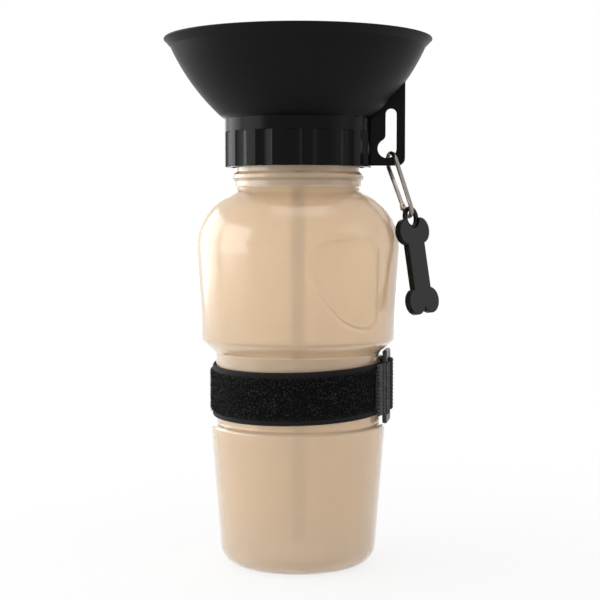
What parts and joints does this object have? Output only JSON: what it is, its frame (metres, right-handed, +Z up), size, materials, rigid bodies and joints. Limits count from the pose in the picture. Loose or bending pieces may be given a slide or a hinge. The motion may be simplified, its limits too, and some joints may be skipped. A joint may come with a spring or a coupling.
{
  "type": "dog travel water bottle",
  "caption": "Squeeze water bottle with a screw cap that is a drinking bowl for a dog, a pull-up valve, a bone tag on a clip and a webbing strap round the waist.",
  "frame": {"origin": "centre of the standing ring under the bottle, on the surface that it stands on", "axes": "+Z up along the bottle's axis, +X to the right, through the strap's ring and near the lug, -Y towards the side that the picture shows"},
  "size_m": [0.1111, 0.1084, 0.2135],
  "materials": {
    "bottle_plastic": "translucent warm tan squeeze plastic, satin",
    "cap_plastic": "black, fine moulded texture on the bowl, smoother collar and lug",
    "gasket_rubber": "translucent silicone",
    "straw_plastic": "milky translucent",
    "valve_plastic": "black, smooth",
    "seal_rubber": "black",
    "clip_nickel": "bright nickel plate",
    "gate_nickel": "bright nickel plate",
    "rivet_steel": "plain steel",
    "spring_steel": "spring steel",
    "tag_metal": "dark grey face, black sides",
    "webbing_fabric": "black ribbed webbing",
    "pile_fabric": "black fuzzy loop pile",
    "hook_plastic": "black hook tape",
    "ring_plastic": "black moulded ring",
    "thread_fabric": "dark grey thread"
  },
  "bodies": {
    "bottle": {"squeeze_bottle": "bottle_plastic", "strap_webbing": "webbing_fabric", "strap_loop_pile": "pile_fabric", "strap_ring": "ring_plastic", "strap_stitches": "thread_fabric"},
    "seal": {"cap_gasket": "gasket_rubber"},
    "cap": {"bowl_cap": "cap_plastic", "dip_straw": "straw_plastic"},
    "valve": {"spout_valve": "valve_plastic", "valve_o_ring": "seal_rubber"},
    "clip": {"clip_body": "clip_nickel", "clip_rivet": "rivet_steel"},
    "gate": {"clip_gate": "gate_nickel", "gate_spring": "spring_steel"},
    "tag": {"bone_tag": "tag_metal"},
    "tail": {"strap_tail": "webbing_fabric", "strap_hook_tape": "hook_plastic"}
  },
  "joints": [
    {"name": "cap_turn", "type": "hinge", "parent": "seal", "child": "cap", "pos_m": [0, 0, 0.18015], "axis": [0, 0, 1], "range_deg": [0, 540]},
    {"name": "cap_lift", "type": "slide", "parent": "bottle", "child": "seal", "axis": [0, 0, 1], "range_m": [0, 0.0076]},
    {"name": "valve_pull", "type": "slide", "parent": "cap", "child": "valve", "axis": [0, 0, 1], "range_m": [0, 0.005]},
    {"name": "clip_swing", "type": "hinge", "parent": "cap", "child": "clip", "pos_m": [0.03698, -0.00168, 0.16703], "axis": [-0.075, -0.9972, 0], "range_deg": [0, 100]},
    {"name": "gate_open", "type": "hinge", "parent": "clip", "child": "gate", "pos_m": [0.04264, -0.00643, 0.14511], "axis": [0.9266, 0.3373, 0.1663], "range_deg": [0, 18], "stiffness_Nm_per_rad": 0.02, "springref_deg": -17.19},
    {"name": "tag_swing", "type": "hinge", "parent": "clip", "child": "tag", "pos_m": [0.04492, -0.01125, 0.14218], "axis": [0.6299, -0.7654, 0.1319], "range_deg": [0, 50]},
    {"name": "tail_peel", "type": "hinge", "parent": "bottle", "child": "tail", "pos_m": [0.03677, -0.01379, 0.0725], "axis": [0, 0, 1], "range_deg": [0, 80]}
  ],
  "couplings": [
    {"joint": "cap_lift", "follows": "cap_turn", "m_per_rad": 0.00079577}
  ]
}
